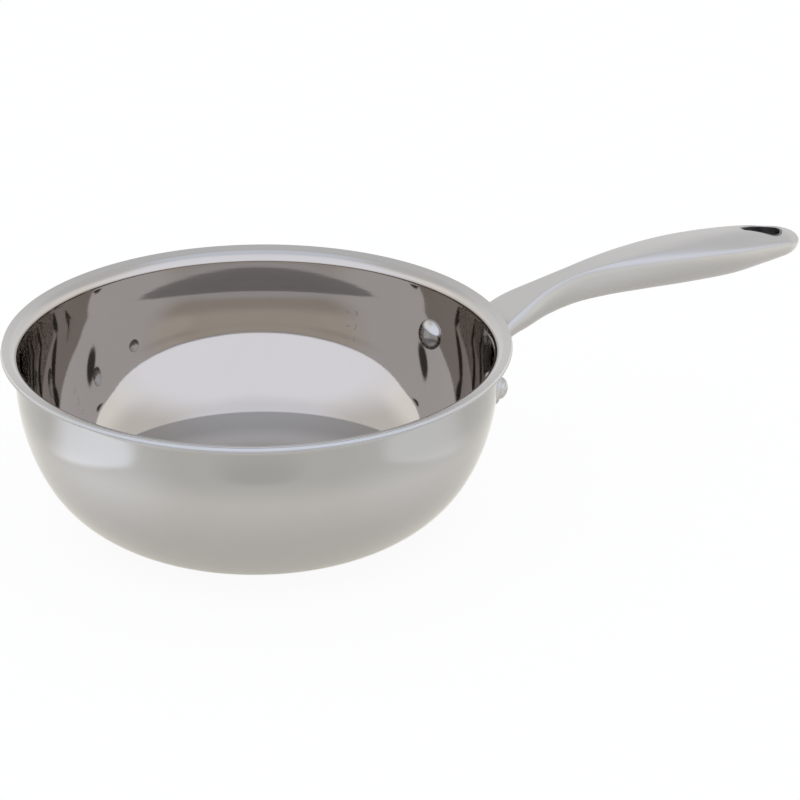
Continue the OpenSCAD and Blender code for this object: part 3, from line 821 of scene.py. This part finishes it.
def rivet_place(bowl, rivet, side):
    """The middle of a rivet on the wall's outer surface, and its directions: along the shank outwards, level,
    and up the wall."""
    form = BowlForm(bowl)
    height = bowl.rim_h - rivet.drop
    radius = float(form.wall_at(0.0, height))
    turn = side * math.asin(rivet.spacing / 2 / radius)
    tilt = math.asin(max((form.centre[1] - height) / form.upper_r, math.sin(bowl.wall_lean)))
    out = np.array([math.cos(turn) * math.cos(tilt), math.sin(turn) * math.cos(tilt), -math.sin(tilt)])
    level = np.array([-math.sin(turn), math.cos(turn), 0])
    centre = np.array([radius * math.cos(turn), radius * math.sin(turn), height])
    return centre, out, level, np.cross(out, level)


def head_profile(radius, height, seat):
    """A domed head from its crown down to its skirt: a quarter ellipse and a short upright edge."""
    turn = np.linspace(0, np.pi / 2, 19)
    dome = np.stack([radius * np.sin(turn), height * np.cos(turn)], axis=-1)
    return np.concatenate([dome, [[radius, -seat / 2], [radius, -seat]]])


class SAUCEPAN_OT_rivets(bpy.types.Operator):
    """Builds the two rivets, each with a head inside the bowl, a shank and a head outside"""
    bl_idname = "saucepan.rivets"
    bl_label = "Rivets"

    def execute(self, context):
        bowl, rivet, bracket, look = (settings(g) for g in ("bowl", "rivet", "bracket", "finish"))
        sheet_t = BowlForm(bowl).sheet_t
        material = plain_metal("rivet_polish", look.rivet_steel, 0.12, 6e-6)
        outside = head_profile(rivet.outer_head_r, rivet.outer_head_h, rivet.seat) + [0, bracket.flange_t]
        inside = head_profile(rivet.inner_head_r, rivet.inner_head_h, rivet.seat) * [1, -1] - [0, sheet_t]
        shank = np.array([[rivet.shank_r, outside[-1, 1]], [rivet.shank_r, inside[-1, 1]]])
        parts = (outside, np.array([outside[-1], shank[0]]), shank, np.array([shank[1], inside[-1]]),
                 inside[::-1])
        for name, side in (("rivet_left", 1), ("rivet_right", -1)):
            centre, out, level, up = rivet_place(bowl, rivet, side)
            skins = []
            for part in parts:
                x, y, z = np.moveaxis(revolve(part, RIVET_TURN), -1, 0)
                points = centre + x[..., None] * level + y[..., None] * up + z[..., None] * out
                skins.append(skin(points, columns_closed=True))
            piece = solid("finished_" + name, skins)
            finish(piece, material, "rivet_steel", name)
        return {"FINISHED"}


class SAUCEPAN_OT_handle(bpy.types.Operator):
    """Builds the handle's upper and lower shells"""
    bl_idname = "saucepan.handle"
    bl_label = "Handle shells"

    def execute(self, context):
        bowl, handle, look = settings("bowl"), settings("handle"), settings("finish")
        form = HandleForm(handle, bowl)
        material = satin_material("satin_handle", look.satin_steel, look.satin_rough)
        for name, node, under in (("upper_shell", "handle_upper_shell", False),
                                  ("lower_shell", "handle_lower_shell", True)):
            finish(solid(name, shell_skins(form, bowl, under)), material, "satin_handle_steel", node)
        return {"FINISHED"}


class SAUCEPAN_OT_liner(bpy.types.Operator):
    """Builds the liner that walls the hanging hole"""
    bl_idname = "saucepan.liner"
    bl_label = "Hanging hole liner"

    def execute(self, context):
        bowl, handle, look = settings("bowl"), settings("handle"), settings("finish")
        form = HandleForm(handle, bowl)
        loops = []
        for grow in (0.0, handle.liner_t):
            x, y, _ = hole_side(handle, bowl, grow)
            for under in (False, True):
                s, p = form.share_over(x, y, 0.0, under)
                side = form.points(s, p)
                side[:, 2] += handle.hole_edge_r * (1 if under else -1)
                loops.append(np.concatenate([side, side[-2:0:-1] * [1, -1, 1], side[:1]]))
        inner_top, inner_low, outer_top, outer_low = loops
        skins = [
            skin(np.stack([inner_top, inner_low]), columns_closed=True),
            skin(np.stack([outer_low, outer_top]), columns_closed=True),
            skin(np.stack([outer_top, inner_top]), columns_closed=True),
            skin(np.stack([inner_low, outer_low]), columns_closed=True),
        ]
        # Painted shade: the liner is near black for the shade deep inside the hole
        material = plain_metal("liner_painted_shade", look.liner, 0.4, 1e-5)
        finish(solid("hole_liner", skins), material, "dark_liner_steel", "hanging_hole_liner")
        return {"FINISHED"}


def plate_outline(rivet, bracket):
    """The plate's outline as (across, height above the rivets): a pad's arc, a lobe round each rivet, and
    their common tangents, from the top round by the right."""
    half = rivet.spacing / 2
    run = math.hypot(half, bracket.pad_rise)
    dip = math.atan2(bracket.pad_rise, half)
    lean = math.acos((bracket.pad_r - bracket.lobe_r) / run)
    quarter = np.pi / 2
    right = np.concatenate([
        arc((0, bracket.pad_rise), bracket.pad_r, 2 * quarter, quarter + lean - dip, 9),
        arc((half, 0), bracket.lobe_r, quarter + lean - dip, quarter - lean - dip, 25),
        arc((0, bracket.pad_rise), bracket.pad_r, quarter - lean - dip, 0, 9),
    ])
    return np.concatenate([right, right[-2::-1] * [-1, 1]])


def even(line, marks):
    """Points of a line at shares of its length."""
    steps = np.linalg.norm(np.diff(line, axis=0), axis=1)
    along = np.concatenate([[0], np.cumsum(steps)]) / steps.sum()
    return np.stack([np.interp(marks, along, line[:, k]) for k in range(line.shape[1])], axis=-1)


def on_wall(wall, flat, depth):
    """Puts points of (across, height) on the wall, at a depth inside its outer surface."""
    radius = wall.wall_at(depth, flat[..., 1])
    return np.stack([np.sqrt(radius ** 2 - flat[..., 0] ** 2), flat[..., 0], flat[..., 1]], axis=-1)


class SAUCEPAN_OT_bracket(bpy.types.Operator):
    """Builds the bracket: tongue, foot, fillet and riveted plate as one skin"""
    bl_idname = "saucepan.bracket"
    bl_label = "Handle bracket"

    def execute(self, context):
        bowl, rivet, bracket, handle = (settings(g) for g in ("bowl", "rivet", "bracket", "handle"))
        form, wall = HandleForm(handle, bowl), BowlForm(bowl)
        rivet_h = bowl.rim_h - rivet.drop
        upper = quadrant_angles(form.crease(np.array(JOINT_SHARE)), 0.0, np.pi / 2)
        lower = np.pi / 2 + np.pi / 2 * (1 - np.sin(np.linspace(0, np.pi / 2, BELLY_POINTS)))[::-1][1:]
        right = np.concatenate([upper, lower])
        p = np.concatenate([right, -right[-2::-1]])
        # Where each line of the foot meets the plate's face, by halving
        face = -bracket.flange_t
        low, high = np.full(len(p), SEARCH_FROM), np.full(len(p), JOINT_SHARE)
        for _ in range(SEARCH_TURNS):
            middle = (low + high) / 2
            at = form.points(middle, p)
            inside = np.hypot(at[:, 0], at[:, 1]) < wall.wall_at(face, at[:, 2])
            low, high = np.where(inside, middle, low), np.where(inside, high, middle)
        meets = form.points(high, p)
        fillet_share = bracket.fillet_r / form.reach
        foot_s = JOINT_SHARE + (high + fillet_share - JOINT_SHARE) * np.linspace(0, 1, FOOT_ROWS)[:, None]
        foot = form.points(foot_s, p)
        centre = np.array([0, (meets[:, 2].max() + meets[:, 2].min()) / 2])
        flat = meets[:, 1:]
        outward = unit(flat - centre)
        toe = flat + bracket.fillet_r * outward
        f = np.linspace(0, 1, FILLET_ROWS + 1)[1:, None, None]
        fillet = (1 - f) ** 2 * foot[-1] + 2 * f * (1 - f) * meets + f ** 2 * on_wall(wall, toe, face)
        # The plate's face runs from the fillet's toe to the outline, matched by their lengths
        outline = plate_outline(rivet, bracket) + [0, rivet_h]
        along = np.concatenate([[0], np.cumsum(np.linalg.norm(np.diff(toe, axis=0), axis=1))])
        rim = even(outline, along / along[-1])
        gap = np.linalg.norm(rim - centre, axis=1) - np.linalg.norm(toe - centre, axis=1)
        edge_r = bracket.edge_r
        rim = rim + outward * np.maximum(2 * edge_r - gap, 0)[:, None]
        normal = unit(np.stack([np.gradient(rim[:, 1]), -np.gradient(rim[:, 0])], axis=-1))
        normal *= np.sign(np.sum(normal * outward, axis=1, keepdims=True))
        border = rim - edge_r * normal
        g = np.linspace(0, 1, PLATE_ROWS + 1)[1:, None, None]
        plate = on_wall(wall, toe + (border - toe) * g, face)
        turn = np.linspace(0, np.pi / 2, EDGE_POINTS)[1:]
        rounds = np.concatenate([
            on_wall(wall, border + edge_r * math.sin(a) * normal, face + edge_r * (1 - math.cos(a)))[None]
            for a in turn])
        back_depth = 0.0
        back_edge = on_wall(wall, rim, back_depth)[None]
        h = np.linspace(0, 1, BACK_ROWS)[:, None, None]
        back = on_wall(wall, rim + (np.array([0, rivet_h]) - rim) * h, back_depth)
        normals = form.normals(foot_s, p)
        front = np.concatenate([foot, fillet, plate, rounds, back_edge])
        shade = skin(front, columns_closed=True, flip=True)[1]
        blend = np.linspace(1, 0, len(foot))[:, None, None] ** 0.5
        shade[:len(foot)] = unit(normals * blend + shade[:len(foot)] * (1 - blend))
        # The tongue inside the handle, closed at its end
        slim = handle.shell_t + bracket.tongue_fit
        tongue_s = JOINT_SHARE + bracket.tongue_l / form.reach * np.linspace(0, 1, TONGUE_ROWS)[:, None]
        tongue = form.points(tongue_s, p, slim)
        cap = np.stack([tongue[-1], tongue[-1] * 0 + tongue[-1].mean(0)])
        skins = [
            (front, shade, True),
            skin(back, columns_closed=True, flip=True),
            skin(np.stack([foot[0], tongue[0]]), flat=True),
            skin(tongue, columns_closed=True),
            skin(cap, flat=True),
        ]
        material = bpy.data.materials.get("satin_handle")
        finish(solid("bracket", skins), material, "satin_handle_steel", "handle_bracket")
        return {"FINISHED"}


# Strokes of each numeral in a box of width 0.6 and height 1, as points
NUMERALS = {
    "1": [[(0.08, 0.78), (0.3, 1), (0.3, 0)]],
    "2": [[(0.02, 0.76), (0.1, 0.94), (0.3, 1), (0.5, 0.94), (0.58, 0.74), (0.5, 0.52), (0.02, 0), (0.6, 0)]],
    "3": [[(0.04, 0.86), (0.3, 1), (0.54, 0.86), (0.5, 0.62), (0.26, 0.52), (0.52, 0.42), (0.58, 0.18),
           (0.3, 0), (0.02, 0.14)]],
}
# Depth of each capacity mark below the rim, by its numeral
MARK_DROPS = {"3": 29.3 * MM, "2": 36.3 * MM, "1": 42.2 * MM}
# Points along a stroke
STROKE_POINTS = 28


class SAUCEPAN_OT_marks(bpy.types.Operator):
    """Builds the etched capacity marks: a tick and a plain numeral at each level"""
    bl_idname = "saucepan.marks"
    bl_label = "Capacity marks"

    def execute(self, context):
        bowl, mark, look = settings("bowl"), settings("mark"), settings("finish")
        form = BowlForm(bowl)
        strokes = []
        for numeral, drop in MARK_DROPS.items():
            height = bowl.rim_h - drop
            strokes.append(np.array([[0, height], [mark.tick_l, height]]))
            for line in NUMERALS[numeral]:
                corner = np.array([mark.tick_l + mark.gap, height - mark.digit_h / 2])
                strokes.append(corner + mark.digit_h * np.array(line))
        skins = []
        for line in strokes:
            line = even(line, np.linspace(0, 1, STROKE_POINTS))
            way = unit(np.gradient(line, axis=0))
            across = np.stack([-way[:, 1], way[:, 0]], axis=-1) * mark.stroke / 2
            sides = (-1.0, -0.8, 0.8, 1.0, -1.0)
            lifts = (-1, 1, 1, -1, -1)
            columns = []
            for side, lift in zip(sides, lifts):
                flat = line + side * across
                radius = form.wall_at(form.sheet_t + lift * mark.lift, flat[:, 1])
                # Seen from inside the bowl, right is clockwise
                turn = mark.turn - flat[:, 0] / radius
                columns.append(np.stack([radius * np.cos(turn), radius * np.sin(turn), flat[:, 1]], axis=-1))
            tube = np.stack(columns, axis=1)
            start, end = (row.mean(1, keepdims=True) + 0 * row for row in (tube[:1], tube[-1:]))
            skins.append(skin(np.concatenate([start, tube, end]), flat=True))
        material = plain_metal("etched_mark", look.etched, 0.55, 5e-6, 0.6)
        finish(solid("capacity_marks", skins), material, "polished_inner_steel")
        return {"FINISHED"}


# Light on the floor, in metres from the pan's middle: side is to the camera's right, front is towards it.
# Ends of a pool's near and far edges, as shares of their distances
POOL_NEAR_END, POOL_FAR_END = 1.09, 1.2
# Strength of a pool's plain part, and where it begins and ends towards the camera
POOL_PLAIN, POOL_BACK, POOL_FRONT = 1.35, (-0.02, 0.05), (0.19, 0.15)
# Strength of the halo round a pool, its middle, and the radii where it fades
HALO, HALO_SIDE, HALO_FRONT, HALO_FADE = 0.6, 0.175, 0.105, (0.13, 0.02)
# A painted shadow, a darker oval on the floor in front of the pan: its middle, half sizes, edge and tone
FLOOR_SHADOW_FRONT, FLOOR_SHADOW_HALVES, FLOOR_SHADOW_EDGE, FLOOR_SHADOW_TONE = 0.243, (0.06, 0.02), (1.5, 0.5), 0.87
# Painted light: glowing rings of paler floor round the pan: the radii where each fades in, and its light
FLOOR_GLOW_RINGS = (((0.24, 0.15), 0.22), ((0.12, 0.075), 0.18), ((0.30, 0.45), 0.55))
# How white the floor is for the camera, and how far it lies below the base
FLOOR_WHITE, FLOOR_DROP = 0.93, 0.05 * MM

# Light of the room by direction: z is upwards, side and front as on the floor.
# Where the backdrop dulls with height, and how dull it gets
BACKDROP_FADE, BACKDROP_TONE = (0.45, 0.70), 0.79
# Where the front light and the top light begin and are whole
FRONT_FADE, ZENITH_FADE = (-0.10, 0.45), (0.84, 0.97)
# The fall towards the horizon, on the camera's side, behind and between: from where to where, and its share
FALL_FRONT, FALL_BACK, FALL_BETWEEN = (0.0, 0.17, 0.6, 0.0), (-0.05, 0.20, 0.6, 0.0), (0.10, 0.25, 0.2, 0.0)
# The side lights: middle, half sizes and edge as (front, z), and where the left one turns into the right one
SIDE_MIDDLE, SIDE_HALVES, SIDE_EDGE, SIDE_TURN = (-0.113, 0.375), (0.36, 0.25), (1.15, 0.55), (-0.1, 0.1)
# The camera's shade: half sizes as (side, z), its edge, and the Ray Depth from which it counts
SHADE_HALVES, SHADE_EDGE, SHADE_DEPTH = (0.10, 0.048), (1.15, 0.85), (2.4, 2.6)


def oval(u, v, middle, halves):
    """Distance from an oval's middle, 1 on its edge: sqrt((u - middle)^2 / half^2 + the same for v)."""
    across, along = u - middle[0], v - middle[1]
    return (across * across / halves[0] ** 2 + along * along / halves[1] ** 2) ** 0.5


def camera_axes(studio):
    """The camera's right, up and forward directions: it looks at the rim's centre, leans by the roll, and
    turns by the least rotation that puts the centre at its pixel."""
    a, e, roll = studio.turn, studio.rise, studio.roll
    forward = np.array([-math.sin(a) * math.cos(e), math.cos(a) * math.cos(e), -math.sin(e)])
    right = np.array([math.cos(a), math.sin(a), 0])
    base = np.stack([right, np.cross(right, forward), forward])
    lean = np.array([[math.cos(roll), -math.sin(roll), 0], [math.sin(roll), math.cos(roll), 0], [0, 0, 1]])
    focal = studio.lens / FRAME_MM * FRAME_PX
    middle = FRAME_PX / 2
    towards = unit(np.array([(studio.rim_x - middle) / focal, (middle - studio.rim_y) / focal, 1]))
    v = np.cross([0, 0, 1], towards)
    k = np.array([[0, -v[2], v[1]], [v[2], 0, -v[0]], [-v[1], v[0], 0]])
    turn = np.eye(3) + k + k @ k / (1 + towards[2])
    return turn @ lean @ base


class SAUCEPAN_OT_studio(bpy.types.Operator):
    """Builds the pale floor, the soft light and the camera"""
    bl_idname = "saucepan.studio"
    bl_label = "Studio"

    def execute(self, context):
        bowl, studio = settings("bowl"), settings("studio")
        scene = context.scene
        scene.view_settings.view_transform = "Standard"
        scene.cycles.max_bounces = 16
        scene.cycles.glossy_bounces = 12
        self.camera(scene, bowl, studio)
        self.floor(studio)
        self.room(scene, studio)
        return {"FINISHED"}

    def camera(self, scene, bowl, studio):
        """Stands the camera where the photograph was taken."""
        data = bpy.data.cameras.new("photo_camera")
        data.lens, data.sensor_width = studio.lens, FRAME_MM
        data.clip_start, data.clip_end = 0.01, 50
        camera = bpy.data.objects.new("photo_camera", data)
        a, e = studio.turn, studio.rise
        back = np.array([math.sin(a) * math.cos(e), -math.cos(a) * math.cos(e), math.sin(e)])
        place = np.array([0, 0, bowl.rim_h]) + studio.distance * back
        right, up, forward = camera_axes(studio)
        matrix = np.eye(4)
        matrix[:3] = np.stack([right, up, -forward, place], axis=1)
        camera.matrix_world = Matrix(matrix.tolist())
        scene.collection.objects.link(camera)
        scene.camera = camera

    def floor(self, studio):
        """Lays the pale floor with its two pools of light. The camera itself sees it nearly white."""
        radius = np.array([0.0, 0.3, 1.0, 1.0]) * studio.floor_r
        # A hair below the base, so that the two never lie in one plane
        height = np.array([0.0, 0.0, 0.0, -0.01]) - FLOOR_DROP
        profile = np.stack([radius, height], axis=-1)
        floor = solid("floor", [skin(revolve(profile, FLOOR_TURN), flat=True)])
        material = bpy.data.materials.new("pale_floor")
        board = Board(material)
        _, x, y, _ = board.place()
        side, front = self.from_camera(studio, x, y)
        near, far = studio.pool_side, studio.pool_end
        # Each pool has a plain edge on the side of the pan, and a halo round it
        left = board.ramp(side, -near, -near * POOL_NEAR_END) * board.ramp(side, -far * POOL_FAR_END, -far)
        right = board.ramp(side, near, near * POOL_NEAR_END) * board.ramp(side, far * POOL_FAR_END, far)
        pool = (left + right * studio.pool_right) * POOL_PLAIN
        pool = pool * board.ramp(front, *POOL_BACK) * board.ramp(front, *POOL_FRONT)
        for sign, halo in ((-1.0, HALO), (1.0, HALO * studio.pool_right)):
            away = oval(side, front, (sign * HALO_SIDE, HALO_FRONT), (1.0, 1.0))
            pool = pool + board.ramp(away, *HALO_FADE) * halo
        pool = pool * studio.pool_light
        # Painted shadow: a darker oval dims the floor's colour in front of the pan
        shade = oval(side, front, (0.0, FLOOR_SHADOW_FRONT), FLOOR_SHADOW_HALVES)
        tone = board.tint(studio.floor, board.ramp(shade, *FLOOR_SHADOW_EDGE, 1.0, FLOOR_SHADOW_TONE))
        # Painted light: the floor glows in rings round the pan, for rays that are not the camera's
        away = (x * x + y * y) ** 0.5
        by_pan, under_pan, far_off = (board.ramp(away, *radii) * light for radii, light in FLOOR_GLOW_RINGS)
        pale = by_pan + under_pan + far_off
        matt = board.add("ShaderNodeBsdfDiffuse", {}, {"Color": tone})
        glow = board.add("ShaderNodeEmission", {}, {"Color": opaque(studio.pool), "Strength": pool})
        lift = board.add("ShaderNodeEmission", {}, {"Color": opaque(studio.floor), "Strength": pale})
        lit = board.add("ShaderNodeAddShader", {}, {0: matt, 1: glow})
        lit = board.add("ShaderNodeAddShader", {}, {0: lit, 1: lift})
        plain = board.add("ShaderNodeBsdfDiffuse", {}, {"Color": opaque((0.8, 0.8, 0.8))})
        white = board.add("ShaderNodeEmission", {}, {"Color": opaque((1, 1, 1)), "Strength": 1.0})
        shown = board.add("ShaderNodeMixShader", {}, {0: FLOOR_WHITE, 1: plain, 2: white})
        seen = board.add("ShaderNodeLightPath", {}, {}, "Is Camera Ray")
        surface = board.add("ShaderNodeMixShader", {}, {0: seen, 1: lit, 2: shown})
        board.add("ShaderNodeOutputMaterial", {}, {"Surface": surface})
        floor.data.materials.append(material)

    def from_camera(self, studio, x, y):
        """Two level distances seen from the camera: to its right, and towards it."""
        ca, sa = math.cos(studio.turn), math.sin(studio.turn)
        return x * ca + y * sa, x * sa - y * ca

    def room(self, scene, studio):
        """Light by direction: a bright wall of light on the camera's side, a white backdrop that dulls with
        height, a fall of both towards the horizon, a soft light to each side, and the camera's shade."""
        world = bpy.data.worlds.new("soft_room")
        scene.world = world
        board = Board(world)
        way = board.add("ShaderNodeTexCoord", {}, {}, "Generated")
        x, y, z = board.split(way)
        side, front = self.from_camera(studio, x, y)
        behind = board.tint(studio.backdrop, board.ramp(z, *BACKDROP_FADE, 1.0, BACKDROP_TONE))
        colour = board.blend(board.ramp(front, *FRONT_FADE), behind, opaque(studio.front))
        colour = board.blend(board.ramp(z, *ZENITH_FADE), colour, opaque(studio.zenith))
        towards, away = board.ramp(front, 0.2, 0.8), board.ramp(front, -0.2, -0.8)
        fall = (towards * board.ramp(z, *FALL_FRONT) + away * board.ramp(z, *FALL_BACK)
                + (1.0 - towards - away) * board.ramp(z, *FALL_BETWEEN))
        glow = board.ramp(oval(front, z, SIDE_MIDDLE, SIDE_HALVES), *SIDE_EDGE) * board.ramp(
            side, *SIDE_TURN, studio.side_left, studio.side_right)
        # The camera's shade counts only for rays mirrored at least twice. No real light works so: it is here
        # for the thin dark stripes that it puts at the bowl's two ends
        off = oval(side, z, (0.0, math.sin(studio.rise)), SHADE_HALVES)
        depth = board.add("ShaderNodeLightPath", {}, {}, "Ray Depth")
        shade = board.ramp(off, *SHADE_EDGE) * board.ramp(front, 0.0, 0.3) * board.ramp(depth, *SHADE_DEPTH)
        colour = board.blend(shade, colour, opaque(studio.shade))
        camera_ray = board.add("ShaderNodeLightPath", {}, {}, "Is Camera Ray")
        colour = board.blend(camera_ray, colour, opaque((1, 1, 1)))
        strength = 1.0 - fall + glow
        strength = strength + camera_ray * (1.0 - strength)
        shine = board.add("ShaderNodeBackground", {}, {"Color": colour, "Strength": strength})
        board.add("ShaderNodeOutputWorld", {}, {"Surface": shine})


class SAUCEPAN_PT_build(bpy.types.Panel):
    """Buttons that build the saucepan and its studio"""
    bl_idname = "SAUCEPAN_PT_build"
    bl_label = "Saucepan"
    bl_space_type = "VIEW_3D"
    bl_region_type = "UI"
    bl_category = "Saucepan"

    def draw(self, context):
        for operator in OPERATORS:
            self.layout.operator(operator.bl_idname)


OPERATORS = (
    SAUCEPAN_OT_studio, SAUCEPAN_OT_bowl, SAUCEPAN_OT_marks, SAUCEPAN_OT_rivets, SAUCEPAN_OT_handle,
    SAUCEPAN_OT_liner, SAUCEPAN_OT_bracket,
)


def register():
    """Adds the classes, and the property groups to the scene."""
    for cls in (*SETTINGS.values(), *OPERATORS, SAUCEPAN_PT_build):
        bpy.utils.register_class(cls)
    for group, cls in SETTINGS.items():
        setattr(bpy.types.Scene, "saucepan_" + group, bpy.props.PointerProperty(type=cls))


def unregister():
    """Takes them away again."""
    for group in SETTINGS:
        delattr(bpy.types.Scene, "saucepan_" + group)
    for cls in (SAUCEPAN_PT_build, *reversed(OPERATORS), *SETTINGS.values()):
        bpy.utils.unregister_class(cls)


def main():
    """Builds everything."""
    register()
    for operator in OPERATORS:
        family, name = operator.bl_idname.split(".")
        getattr(getattr(bpy.ops, family), name)()


if __name__ == "__main__":
    main()
